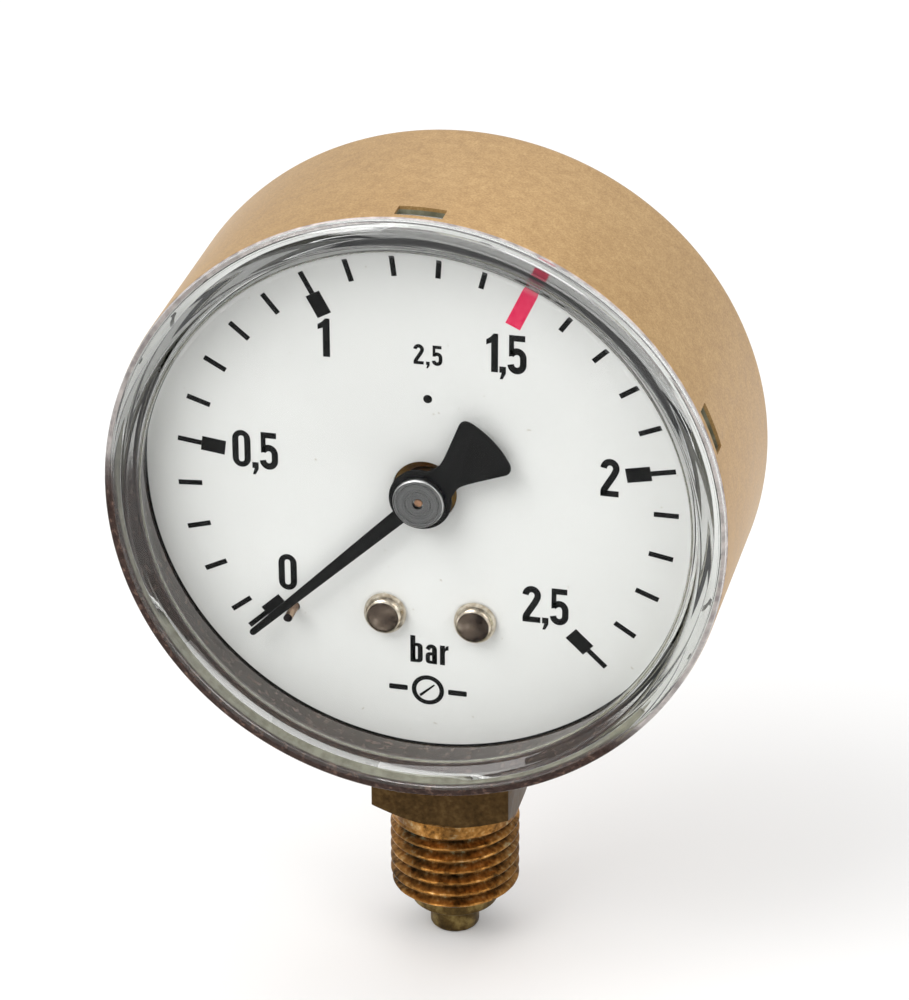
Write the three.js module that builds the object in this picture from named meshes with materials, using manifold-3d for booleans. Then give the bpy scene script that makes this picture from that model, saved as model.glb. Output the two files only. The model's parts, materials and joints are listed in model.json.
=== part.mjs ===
// Bourdon-tube pressure gauge with bottom connection, 0 to 2.5 bar.
// Millimetres. +Z up, the dial faces -Y, +X is to the right when reading the dial.
// Origin: on the stem axis, at the shoulder where the parallel thread starts.
import * as THREE from 'three';
import { mergeVertices } from 'three/addons/utils/BufferGeometryUtils.js';
import Module from 'manifold-3d';

// ---- driving dimensions -------------------------------------------------
const DIAL_Y = -12.3;          // front face of the dial, in front of the stem axis
const DIAL_Z = 40.1;           // dial centre above the shoulder
const CASE_R = 29.9;           // case outer radius at the back
const CASE_RF = 29.4;          // and at the front edge: the drawn cup has a little draft
const WALL = 0.8;              // case sheet thickness
const CASE_BACK = 17.6;        // case back, behind the dial face
const CASE_CORNER = 2.5;       // rounding of the drawn back edge
const CASE_FRONT = -5.8;       // front edge of the case, from the dial face
const CASE_EDGE = 0.4;         // rounding of that edge
const SLOT_W = 4.4, SLOT_H = 2.0, SLOT_AT = -4.1;
const SLOT_AZ = [1.2, 68, 134.8, -65.6]; // degrees clockwise from the top
const RIM_R = 29.3;            // the window's rim covers the case edge
const WIN_R = 28.4, WIN_FRONT = -6.0, WIN_BEAD = -7.1, WIN_BACK = -4.8;
const DIAL_R = 28.3, DIAL_T = 0.5, DIAL_HOLE = 3.1;
const DIAL_SCREW_X = [-3.85, 4.95], DIAL_SCREW_Z = -13.2;
const STOP_R = 18.8, STOP_AZ = -136.8, STOP_PIN_R = 0.42;
const POINTER_AZ = -134;       // rest, on the stop pin
const POINTER_TIP = 23.4, BLADE_Y = -1.55, BLADE_T = 0.3;
const BAR_W = 14, BAR_FRONT = -7, BAR_BACK = 4.4, BAR_TOP = 28.5, FLAT_TOP = 9.7; // wrench block, and the socket's top
const THREAD_R = 6.5785, THREAD_ROOT_R = 5.72, PITCH = 1.337; // G 1/4 B
const THREAD_END = -12, SPIGOT_END = -15.3, SPIGOT_R = 2.5, RELIEF_R = 4.2;
const BORE_R = 1.3;
const TUBE_R = 20, TUBE_W = 8, TUBE_T = 3, TUBE_WALL = 0.4; // C tube
const TUBE_START = -164.2, TUBE_END = 88;                  // degrees clockwise from the top
const GEAR_M = 0.24, PINION_N = 10, SECTOR_N = 80, ALPHA = 20 * Math.PI / 180;
const CENTRES = GEAR_M * (PINION_N + SECTOR_N) / 2;
const PIVOT_DIR = -40.6;       // sector pivot from the dial centre, degrees from +X
const TAIL = 5.0, TAIL_DIR = -17.2;
const FRONT_PLATE = [0.8, 1.8], BACK_PLATE = [6.6, 7.6]; // from the dial face
const TIP_PIN = [14.2, -1.2];
const PILLARS = [[-5.5, 3.5], [-5.5, -8.5], [9.5, 2.0]];
const SEG = 48;

const wasm = await Module();
wasm.setup();

// ---- helpers --------------------------------------------------------------
function tidy(src) {
  let g = src.index ? src.toNonIndexed() : src.clone();
  const only = new THREE.BufferGeometry();
  only.setAttribute('position', g.getAttribute('position').clone());
  g = mergeVertices(only, 1e-4);
  const p = g.getAttribute('position'), ix = g.index.array, out = [];
  const a = new THREE.Vector3(), b = new THREE.Vector3(), c = new THREE.Vector3();
  let vol = 0;
  for (let i = 0; i < ix.length; i += 3) {
    const [i0, i1, i2] = [ix[i], ix[i + 1], ix[i + 2]];
    if (i0 === i1 || i1 === i2 || i0 === i2) continue;
    a.fromBufferAttribute(p, i0); b.fromBufferAttribute(p, i1); c.fromBufferAttribute(p, i2);
    vol += a.dot(b.clone().cross(c)) / 6;
    out.push(i0, i1, i2);
  }
  if (vol < 0) for (let i = 0; i < out.length; i += 3) [out[i + 1], out[i + 2]] = [out[i + 2], out[i + 1]];
  g.setIndex(out);
  return g;
}
function solid(g) {
  const t = tidy(g);
  return new wasm.Manifold(new wasm.Mesh({
    numProp: 3,
    vertProperties: new Float32Array(t.getAttribute('position').array),
    triVerts: new Uint32Array(t.index.array),
  }));
}
function geometry(m) {
  const k = m.getMesh(), g = new THREE.BufferGeometry();
  const n = k.vertProperties.length / k.numProp, pos = new Float32Array(n * 3);
  for (let i = 0; i < n; i++) for (let j = 0; j < 3; j++) pos[3 * i + j] = k.vertProperties[i * k.numProp + j];
  g.setAttribute('position', new THREE.BufferAttribute(pos, 3));
  g.setIndex(Array.from(k.triVerts));
  return g;
}
const cut = (g, ...tools) => geometry(tools.reduce((s, t) => s.subtract(solid(t)), solid(g)));
const join = (g, ...more) => geometry(more.reduce((s, t) => s.add(solid(t)), solid(g)));
// closed profile of [radius, y] turned about Y, given in dial coordinates
function turnY(profile, seg = SEG) {
  const pts = profile.map(([r, y]) => new THREE.Vector2(r, y));
  if (profile[0][0] > 0) pts.push(pts[0].clone());
  return tidy(new THREE.LatheGeometry(pts, seg));
}
// the same about Z
const turnZ = (profile, seg = SEG) => tidy(turnY(profile, seg).rotateX(Math.PI / 2));
// outline [x, z] drawn as seen from the front, extruded from y0 to y1
function platex(outline, holes, y0, y1) {
  const s = new THREE.Shape(outline.map(([x, z]) => new THREE.Vector2(x, z)));
  for (const h of holes) s.holes.push(new THREE.Path(h.map(([x, z]) => new THREE.Vector2(x, z))));
  const g = new THREE.ExtrudeGeometry(s, { depth: y1 - y0, bevelEnabled: false, curveSegments: 1 });
  const m = new THREE.Matrix4().set(1, 0, 0, 0, 0, 0, 1, y0, 0, 1, 0, 0, 0, 0, 0, 1);
  g.applyMatrix4(m);
  return tidy(g);
}
function ring(x, z, r, n = 20, start = 0, cw = false) {
  const out = [];
  for (let i = 0; i < n; i++) {
    const a = start + (cw ? -1 : 1) * i * 2 * Math.PI / n;
    out.push([x + r * Math.cos(a), z + r * Math.sin(a)]);
  }
  return out;
}
const arc = (x, z, r, a0, a1, n) => Array.from({ length: n + 1 }, (_, i) => {
  const a = (a0 + (a1 - a0) * i / n) * Math.PI / 180;
  return [x + r * Math.cos(a), z + r * Math.sin(a)];
});
const boxg = (x0, x1, y0, y1, z0, z1) =>
  new THREE.BoxGeometry(x1 - x0, y1 - y0, z1 - z0).translate((x0 + x1) / 2, (y0 + y1) / 2, (z0 + z1) / 2);
const rodY = (x, z, r, y0, y1, n = 20) => platex(ring(x, z, r, n), [], y0, y1);
const az = (deg, r) => [r * Math.sin(deg * Math.PI / 180), r * Math.cos(deg * Math.PI / 180)];

const gauge = new THREE.Group();
gauge.name = 'pressure_gauge';
const head = new THREE.Group();   // dial coordinates: origin at the centre of the dial's front face
head.position.set(0, DIAL_Y, DIAL_Z);
gauge.add(head);

const paint = (color, roughness, metalness) => new THREE.MeshStandardMaterial({ color, roughness, metalness });
function put(parent, name, g, mat) {
  const t = tidy(g);
  t.computeVertexNormals();
  const m = new THREE.Mesh(t, mat);
  m.name = name;
  parent.add(m);
}

// ---- case: drawn sheet-metal cup ----------------------------------------------
{
  const prof = [];
  const ri = CASE_R - WALL, cb = CASE_BACK, cr = CASE_CORNER, ci = cr - WALL;
  prof.push([0, cb]);
  for (let i = 0; i <= 4; i++) {
    const a = i / 4 * Math.PI / 2;
    prof.push([CASE_R - cr + cr * Math.sin(a), cb - cr + cr * Math.cos(a)]);
  }
  for (let i = 0; i <= 2; i++) {
    const a = i / 2 * Math.PI / 2;
    prof.push([CASE_RF - CASE_EDGE + CASE_EDGE * Math.cos(a), CASE_FRONT + CASE_EDGE - CASE_EDGE * Math.sin(a)]);
  }
  prof.push([CASE_RF - WALL, CASE_FRONT]);
  for (let i = 0; i <= 3; i++) {
    const a = i / 3 * Math.PI / 2;
    prof.push([ri - ci + ci * Math.cos(a), cb - WALL - ci + ci * Math.sin(a)]);
  }
  prof.push([0, cb - WALL]);
  const tools = SLOT_AZ.map((d) => boxg(-SLOT_W / 2, SLOT_W / 2, SLOT_AT - SLOT_H / 2, SLOT_AT + SLOT_H / 2, 26, 32)
    .rotateY(d * Math.PI / 180));
  const sy = -DIAL_Y;
  tools.push(boxg(-BAR_W / 2 - 0.2, BAR_W / 2 + 0.2, sy + BAR_FRONT - 0.2, cb - WALL - 0.1, -33, -25));
  tools.push(rodY(0, 12, 5.2, cb - 2, cb + 2, 32));
  for (const s of [-1, 1]) tools.push(rodY(4 * s, -20, 1.5, cb - 2, cb + 2, 20));
  put(head, 'case', cut(turnY(prof), ...tools), paint(0xb89b6c, 0.45, 0.6));
}

// ---- clear window: pane, rounded rim over the case edge, and skirt in one piece -
{
  const p = [[0, WIN_FRONT], [25.7, WIN_FRONT], [26.3, WIN_FRONT - 0.12], [26.85, WIN_BEAD + 0.35], [27.3, WIN_BEAD + 0.06],
    [27.8, WIN_BEAD], [28.4, WIN_BEAD + 0.12], [28.9, WIN_BEAD + 0.4], [29.2, WIN_BEAD + 0.75], [RIM_R, WIN_BEAD + 1.1],
    [RIM_R, CASE_FRONT - 0.05], [WIN_R, CASE_FRONT - 0.05], [WIN_R, -5.4], [27.9, -5.3], [27.9, -2.95], [WIN_R, -2.85], [WIN_R, -0.2],
    [27.3, -0.2], [26.65, WIN_BACK + 0.45], [26.2, WIN_BACK], [0, WIN_BACK]];
  const mat = paint(0xf4f6f4, 0.05, 0);
  mat.transparent = true; mat.opacity = 0.25;
  put(head, 'window', turnY(p), mat);
}

// ---- dial ---------------------------------------------------------------------
{
  const [sx, sz] = az(STOP_AZ, STOP_R);
  put(head, 'dial', platex(ring(0, 0, DIAL_R, 48), [ring(0, 0, DIAL_HOLE, 24, 0, true),
    ...DIAL_SCREW_X.map((x) => ring(x, DIAL_SCREW_Z, 1.15, 16, 0, true)),
    ring(sx, sz, STOP_PIN_R + 0.06, 12, 0, true)], 0, DIAL_T), paint(0xecece9, 0.5, 0));
  put(head, 'zero_stop_pin', rodY(sx, sz, STOP_PIN_R, -2.5, DIAL_T, 12), paint(0xb07a52, 0.35, 0.9));
}
for (const [side, x] of [['left', DIAL_SCREW_X[0]], ['right', DIAL_SCREW_X[1]]]) {
  const p = [[0, -1.35], [1.35, -1.35], [1.75, -1.1], [2.0, -0.7], [2.1, -0.1], [0.95, -0.1], [0.95, 5.2], [0, 5.2]];
  put(head, `dial_screw_${side}`, turnY(p, 16).translate(x, 0, DIAL_SCREW_Z), paint(0xc8bfb0, 0.25, 1));
}

// ---- pointer: blade, bush and cap ------------------------------------------------
{
  const blade = [];
  blade.push([-0.32, POINTER_TIP - 0.25], [-0.74, 2.85]);
  blade.push(...arc(0, 0, 3.0, 106, 236, 8));
  blade.push([-1.35, -3.6], [-1.64, -4.7], [-2.45, -6.55], ...arc(-2.55, -8.5, 0.72, 153, 253, 4),
    [-1.4, -9.54], [0, -9.65], [1.4, -9.54], ...arc(2.55, -8.5, 0.72, -73, 27, 4), [2.45, -6.55], [1.64, -4.7], [1.35, -3.6]);
  blade.push(...arc(0, 0, 3.0, -56, 74, 8));
  blade.push([0.74, 2.85], [0.32, POINTER_TIP - 0.25], [0.16, POINTER_TIP], [-0.16, POINTER_TIP]);
  const a = -POINTER_AZ * Math.PI / 180;
  const turn = ([x, z]) => [x * Math.cos(a) - z * Math.sin(a), x * Math.sin(a) + z * Math.cos(a)];
  put(head, 'pointer_blade', platex(blade.map(turn), [ring(0, 0, 1.4, 20, 0, true)], BLADE_Y - BLADE_T, BLADE_Y), paint(0x101010, 0.5, 0.1));
  put(head, 'pointer_bush', turnY([[0.8, -2.5], [1.25, -2.5], [1.25, -1.45], [2.0, -1.45], [2.0, -1.25], [0.8, -1.25]], 16), paint(0xb48a4a, 0.35, 1));
  put(head, 'pointer_cap', turnY([[0.5, -2.8], [2.15, -2.8], [2.42, -2.62], [2.45, -2.0], [1.4, -2.0], [1.4, -2.6], [0.5, -2.6]], 20), paint(0xb4b4b2, 0.3, 1));
}

// ---- movement -------------------------------------------------------------------
const P = [CENTRES * Math.cos(PIVOT_DIR * Math.PI / 180), CENTRES * Math.sin(PIVOT_DIR * Math.PI / 180)];
const tailPin = [P[0] + TAIL * Math.cos(TAIL_DIR * Math.PI / 180), P[1] + TAIL * Math.sin(TAIL_DIR * Math.PI / 180)];
const brass = () => paint(0xb89450, 0.4, 0.9);
const steel = () => paint(0x9a9a98, 0.35, 1);
const inv = (a) => Math.tan(a) - a;
function tooth(n, centre, add, ded, thin) {
  const rp = GEAR_M * n / 2, rb = rp * Math.cos(ALPHA), half = Math.PI / (2 * n) * thin;
  const at = (r) => half + inv(ALPHA) - (r > rb ? inv(Math.acos(rb / r)) : 0);
  const radii = [rp - ded, rp - ded * 0.3, rp + add * 0.35, rp + add];
  const lo = radii.map((r) => [r, centre - at(r)]), hi = radii.map((r) => [r, centre + at(r)]).reverse();
  return [...lo, ...hi].map(([r, a]) => [r * Math.cos(a), r * Math.sin(a)]);
}
{
  const lower = [[-6.8, -17.4], [6.8, -17.4], [6.8, -12.4], [11.4, -10.6], [11.6, -4.0], [11.3, 2.6], [10.0, 4.0], [6.0, 6.0], [-6.2, 6.0], [-7.4, 4.6], [-7.4, -9.4], [-6.8, -11.2]];
  put(head, 'front_plate', platex(lower, [ring(0, 0, 2.3, 24, 0, true), ring(P[0], P[1], 0.7, 16, 0, true),
    ...DIAL_SCREW_X.map((x) => ring(x, DIAL_SCREW_Z, 1.15, 16, 0, true))],
    FRONT_PLATE[0], FRONT_PLATE[1]), brass());
  const upper = [[-6.8, -10.2], [4.6, -10.2], [11.0, -10.2], [11.4, -4.0], [11.3, 2.6], [10.0, 4.0], [6.0, 6.0], [-6.2, 6.0], [-7.4, 4.6], [-7.4, -9.4]];
  put(head, 'back_plate', platex(upper, [ring(0, 0, 0.8, 16, 0, true), ring(P[0], P[1], 0.7, 16, 0, true),
    ...PILLARS.map(([x, z]) => ring(x, z, 0.75, 12, 0, true))], BACK_PLATE[0], BACK_PLATE[1]), brass());
  PILLARS.forEach(([x, z], i) => {
    const g = cut(rodY(x, z, 1.3, FRONT_PLATE[1] + 0.05, BACK_PLATE[0] - 0.05, 16), rodY(x, z, 0.75, 4.2, 8, 12));
    put(head, `pillar_${i + 1}`, g, brass());
    const s = [[0, 8.5], [1.35, 8.5], [1.35, BACK_PLATE[1] + 0.05], [0.62, BACK_PLATE[1] + 0.05], [0.62, 4.6], [0, 4.6]];
    put(head, `plate_screw_${i + 1}`, turnY(s, 12).translate(x, 0, z), steel());
  });
  // the collar carries the arbor and stands through the dial
  put(head, 'bearing_collar', turnY([[0.8, -1.1], [1.6, -1.1], [2.15, -0.85], [2.15, 2.2], [0.8, 2.2]], 18), paint(0xa87f3e, 0.4, 0.9));
}
{
  const teeth = [];
  for (let i = 0; i < PINION_N; i++) teeth.push(...tooth(PINION_N, (PIVOT_DIR * Math.PI / 180) + i * 2 * Math.PI / PINION_N, 0.2, 0.2, 0.82));
  const pinion = platex(teeth, [], 2.4, 4.6);
  const arbor = turnY([[0, -2.45], [0.7, -2.45], [0.7, 7.5], [0, 7.5]], 16);
  put(head, 'pinion_arbor', join(pinion, arbor), steel());
  put(head, 'hairspring_collet', turnY([[0.8, 5.0], [1.7, 5.0], [1.7, 5.9], [0.8, 5.9]], 20), brass());
}
{
  // toothed arc, arms and tail of the sector, around its own pivot
  const toO = 180 + PIVOT_DIR, step = 360 / SECTOR_N, out = [];
  const first = -9, last = 1;                     // gaps lie on the line of centres
  for (let i = first; i < last; i++) out.push(...tooth(SECTOR_N, (toO + (i + 0.5) * step) * Math.PI / 180, 0.13, 0.26, 0.82));
  const r0 = SECTOR_N * GEAR_M / 2 - 1.6;
  out.push(...arc(0, 0, 2.2, toO + 20, 360 + TAIL_DIR - 50, 9));
  out.push(...arc(TAIL * Math.cos(TAIL_DIR * Math.PI / 180), TAIL * Math.sin(TAIL_DIR * Math.PI / 180), 1.25, TAIL_DIR - 70, TAIL_DIR + 70, 8));
  out.push(...arc(0, 0, 2.2, TAIL_DIR + 48, 70, 4));
  const slot = [...arc(0, 0, 3.3, toO - 4, toO - 30, 3), ...arc(0, 0, r0, toO - 34, toO - 1, 5)];
  const at = ([x, z]) => [x + P[0], z + P[1]];
  put(head, 'sector_gear', platex(out.map(at), [slot.map(at), ring(P[0], P[1], 0.68, 16, 0, true), ring(tailPin[0], tailPin[1], 0.7, 16, 0, true)], 3.0, 3.8), brass());
  put(head, 'sector_arbor', platex(ring(P[0], P[1], 0.6, 16), [], 0.9, 7.5), steel());
  put(head, 'link_screw', turnY([[0, 2.35], [1.1, 2.35], [1.1, 2.9], [0.58, 2.9], [0.58, 5.2], [0, 5.2]], 12).translate(tailPin[0], 0, tailPin[1]), steel());
  // link from the sector's tail to the tube's tip; its upper eye is wide
  const dx = TIP_PIN[0] - tailPin[0], dz = TIP_PIN[1] - tailPin[1], dir = Math.atan2(dz, dx) * 180 / Math.PI;
  const link = [...arc(TIP_PIN[0], TIP_PIN[1], 1.8, dir - 140, dir + 140, 14), ...arc(tailPin[0], tailPin[1], 1.4, dir + 150, dir + 210, 4)];
  const side = (k) => { const q = (dir + 90 * k) * Math.PI / 180; return [Math.cos(q) * 0.75, Math.sin(q) * 0.75]; };
  const [ax, az1] = side(1), [bx, bz] = side(-1);
  const bar = [...arc(tailPin[0], tailPin[1], 1.4, dir + 35, dir + 325, 12), [tailPin[0] + bx + dx * 0.25, tailPin[1] + bz + dz * 0.25], [TIP_PIN[0] + bx - dx * 0.3, TIP_PIN[1] + bz - dz * 0.3],
    ...arc(TIP_PIN[0], TIP_PIN[1], 1.8, dir - 150, dir + 150, 14), [TIP_PIN[0] + ax - dx * 0.3, TIP_PIN[1] + az1 - dz * 0.3], [tailPin[0] + ax + dx * 0.25, tailPin[1] + az1 + dz * 0.25]];
  put(head, 'link', platex(bar, [ring(tailPin[0], tailPin[1], 0.72, 16, 0, true), ring(TIP_PIN[0], TIP_PIN[1], 1.1, 16, 0, true)], 4.1, 4.7), brass());
}
{
  // hairspring: flat spiral ribbon, and the stud that holds its outer end
  const turns = 3.4, n = 54, ra = 1.95, rb = 4.7, th = 0.07, end = Math.PI * 1.06;
  const inner = [], outer = [];
  for (let i = 0; i <= n; i++) {
    const t = i / n, a = end - (1 - t) * turns * 2 * Math.PI, r = ra + (rb - ra) * t;
    inner.push([(r - th) * Math.cos(a), (r - th) * Math.sin(a)]);
    outer.push([(r + th) * Math.cos(a), (r + th) * Math.sin(a)]);
  }
  put(head, 'hairspring', platex([...outer, ...inner.reverse()], [], 5.2, 5.7), paint(0x8d8a80, 0.3, 1));
  put(head, 'hairspring_stud', rodY(5.5 * Math.cos(end + 0.02), 5.5 * Math.sin(end + 0.02), 0.6, FRONT_PLATE[1] + 0.05, 6.0, 14), brass());
}

// ---- Bourdon tube: flattened hollow C, open at both ends ---------------------------
{
  const n = 10, m = 24, y = -DIAL_Y;
  const section = (w, t) => Array.from({ length: n }, (_, i) => {
    const a = i / n * 2 * Math.PI, c = Math.cos(a), s = Math.sin(a), e = 0.62;
    return [Math.sign(c) * Math.abs(c) ** e * w / 2, Math.sign(s) * Math.abs(s) ** e * t / 2];
  });
  const skin = (w, t, d0, d1) => {
    const pos = [], idx = [], sec = section(w, t);
    for (let j = 0; j <= m; j++) {
      const d = d0 + (d1 - d0) * j / m;
      for (const [u, v] of sec) { const [x, z] = az(d, TUBE_R + v); pos.push(x, y + u, z); }
    }
    for (let j = 0; j < m; j++) for (let i = 0; i < n; i++) {
      const a = j * n + i, b = j * n + (i + 1) % n, c = a + n, e = b + n;
      idx.push(a, b, c, b, e, c);
    }
    for (let i = 1; i < n - 1; i++) { idx.push(0, i + 1, i); const q = m * n; idx.push(q, q + i, q + i + 1); }
    const g = new THREE.BufferGeometry();
    g.setAttribute('position', new THREE.Float32BufferAttribute(pos, 3));
    g.setIndex(idx);
    return g;
  };
  const g = cut(skin(TUBE_W, TUBE_T, TUBE_START, TUBE_END), skin(TUBE_W - 2 * TUBE_WALL, TUBE_T - 2 * TUBE_WALL, TUBE_START - 1, TUBE_END + 1));
  put(head, 'bourdon_tube', g, paint(0xc49a5a, 0.35, 0.95));
  put(head, 'tube_tip', join(boxg(18.2, 21.8, y - 3.4, y + 3.4, -3.0, 0.1), boxg(13.0, 18.4, y - 3.4, y - 1.6, -2.6, 0.1)), brass());
  put(head, 'tip_pin', rodY(TIP_PIN[0], TIP_PIN[1], 0.6, 3.6, y - 3.5, 16), steel());
}

// ---- socket: wrench block, thread, spigot and the head inside the case ---------------
{
  const top = BAR_TOP, hw = BAR_W / 2;
  // flats below the case, slightly relieved where the bar stands inside it
  const block = join(boxg(-hw, hw, BAR_FRONT, BAR_BACK, 0.001, FLAT_TOP), boxg(-hw + 0.2, hw - 0.2, BAR_FRONT + 0.2, BAR_BACK, FLAT_TOP - 1, top));
  // the lower end of the bar is turned to a cone
  const cone = turnZ([[0, -0.5], [6.9, -0.5], [6.9, 0], [10.0, 1.8], [10.0, top + 1], [0, top + 1]], 32);
  const turned = geometry(solid(block).intersect(solid(cone)));
  const front = boxg(-hw + 0.2, hw - 0.2, DIAL_Y + FRONT_PLATE[1] + 0.1, 0, DIAL_Z - 19.4, top);
  const prof = [[0, 0.6], [6.0, 0.6], [6.0, -0.35], [THREAD_R, -0.75]];
  const first = -1.6, count = 6;
  for (let i = 0; i < count; i++) {
    const z = first - i * PITCH;
    prof.push([THREAD_R, z], [THREAD_ROOT_R, z - PITCH * 0.42], [THREAD_ROOT_R, z - PITCH * 0.52], [THREAD_R, z - PITCH * 0.94]);
  }
  prof.push([THREAD_R - 0.05, -9.65], [6.1, -10.0], [RELIEF_R, -10.1], [RELIEF_R, THREAD_END + 0.1], [RELIEF_R - 0.1, THREAD_END], [SPIGOT_R, THREAD_END],
    [SPIGOT_R, SPIGOT_END + 0.35], [SPIGOT_R - 0.35, SPIGOT_END], [0, SPIGOT_END]);
  const stem = turnZ(prof, 24);
  const g = join(turned, front, stem);
  const holes = [
    turnZ([[0, SPIGOT_END - 1], [BORE_R, SPIGOT_END - 1], [BORE_R, DIAL_Z - 19.0], [0, DIAL_Z - 18.4]], 16),
    boxg(-hw - 1, -4.6, -TUBE_W / 2 - 0.3, BAR_BACK + 1, DIAL_Z - TUBE_R - 1.2, DIAL_Z - TUBE_R + 3.4),
    boxg(-4.8, -0.4, -0.9, 0.9, DIAL_Z - TUBE_R + 0.0, DIAL_Z - TUBE_R + 1.6),
  ];
  for (const x of DIAL_SCREW_X) holes.push(rodY(x, DIAL_Z + DIAL_SCREW_Z, 1.05, DIAL_Y, DIAL_Y + 5.8, 16));
  for (const s of [-1, 1]) {
    holes.push(rodY(s * 4, DIAL_Z - 20, 1.05, 1.5, 8, 16));
  }
  put(gauge, 'socket', cut(g, ...holes), paint(0xa8793a, 0.4, 0.9));
  put(gauge, 'restrictor_screw', turnZ([[0.3, -14.6], [1.15, -14.6], [1.15, -11.2], [0.3, -11.2]], 16), paint(0xb89450, 0.4, 0.9));
}

// ---- rear fasteners and the blow-out plug --------------------------------------------
for (const [side, s] of [['left', -1], ['right', 1]]) {
  const y = CASE_BACK;
  const p = [[0, y + 0.95], [1.9, y + 0.85], [2.4, y + 0.45], [2.4, y + 0.05], [0.95, y + 0.05], [0.95, y - 3.2], [0, y - 3.2]];
  put(head, `rear_screw_${side}`, turnY(p, 16).translate(4 * s, 0, -20), paint(0xb0aca4, 0.35, 1));
}
put(head, 'vent_plug', turnY([[0, CASE_BACK + 0.8], [5.8, CASE_BACK + 0.8], [6.3, CASE_BACK + 0.5], [6.3, CASE_BACK + 0.05], [5.05, CASE_BACK + 0.05],
  [5.05, CASE_BACK - WALL - 0.1], [5.5, CASE_BACK - WALL - 0.1], [5.3, CASE_BACK - WALL - 0.6], [0, CASE_BACK - WALL - 0.6]], 24).translate(0, 0, 12), paint(0x2a2a2c, 0.8, 0));

export default gauge;
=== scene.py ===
import json
import math
import bpy
import bmesh
from mathutils import Matrix, Vector


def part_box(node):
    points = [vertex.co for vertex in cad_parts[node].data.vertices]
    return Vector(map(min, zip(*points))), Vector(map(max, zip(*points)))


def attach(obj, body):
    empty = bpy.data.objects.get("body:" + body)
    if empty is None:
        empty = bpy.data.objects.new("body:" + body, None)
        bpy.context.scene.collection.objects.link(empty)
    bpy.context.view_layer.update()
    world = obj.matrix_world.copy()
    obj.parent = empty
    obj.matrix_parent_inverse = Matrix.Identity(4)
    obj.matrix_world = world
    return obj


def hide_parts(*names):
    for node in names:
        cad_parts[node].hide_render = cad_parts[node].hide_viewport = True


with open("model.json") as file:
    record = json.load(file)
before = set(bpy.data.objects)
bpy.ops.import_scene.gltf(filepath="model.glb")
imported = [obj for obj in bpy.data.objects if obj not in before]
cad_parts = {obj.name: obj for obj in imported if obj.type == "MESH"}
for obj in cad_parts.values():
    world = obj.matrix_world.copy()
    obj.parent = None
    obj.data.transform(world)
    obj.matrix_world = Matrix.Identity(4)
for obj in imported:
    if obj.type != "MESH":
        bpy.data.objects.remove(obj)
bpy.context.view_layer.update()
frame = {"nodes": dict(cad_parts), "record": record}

MM = 0.001
nodes = frame["nodes"]
lo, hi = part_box("dial")
DC = Vector(((lo.x + hi.x) / 2, lo.y, (lo.z + hi.z) / 2))      # centre of the dial's front face
slot_of = {s["node"]: s["material_slot"] for s in frame["record"]["subparts"]}

# ------------------------------------------------------------------ camera
cam_data = bpy.data.cameras.new("camera")
cam = bpy.data.objects.new("camera", cam_data)
bpy.context.scene.collection.objects.link(cam)
cam_data.sensor_fit = "AUTO"
cam_data.sensor_width = 36.0
cam_data.lens = 3494.18 / 1000 * 36.0
cam_data.clip_start = 0.01
cam_data.clip_end = 20.0
loc = Vector((68.1426, -284.6132, 143.6396)) * MM + DC
rot = Matrix(((0.974596069, -0.0994278654, 0.200690311),
              (0.223969814, 0.432036251, -0.873602999),
              (0.000154991680, 0.896358621, 0.443329673)))
cam.matrix_world = Matrix.Translation(loc) @ rot.to_4x4()
bpy.context.scene.camera = cam

# ------------------------------------------------------------------ material helpers
def srgb(r, g, b):
    def f(c):
        c /= 255.0
        return c / 12.92 if c <= 0.04045 else ((c + 0.055) / 1.055) ** 2.4
    return (f(r), f(g), f(b), 1.0)


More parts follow.
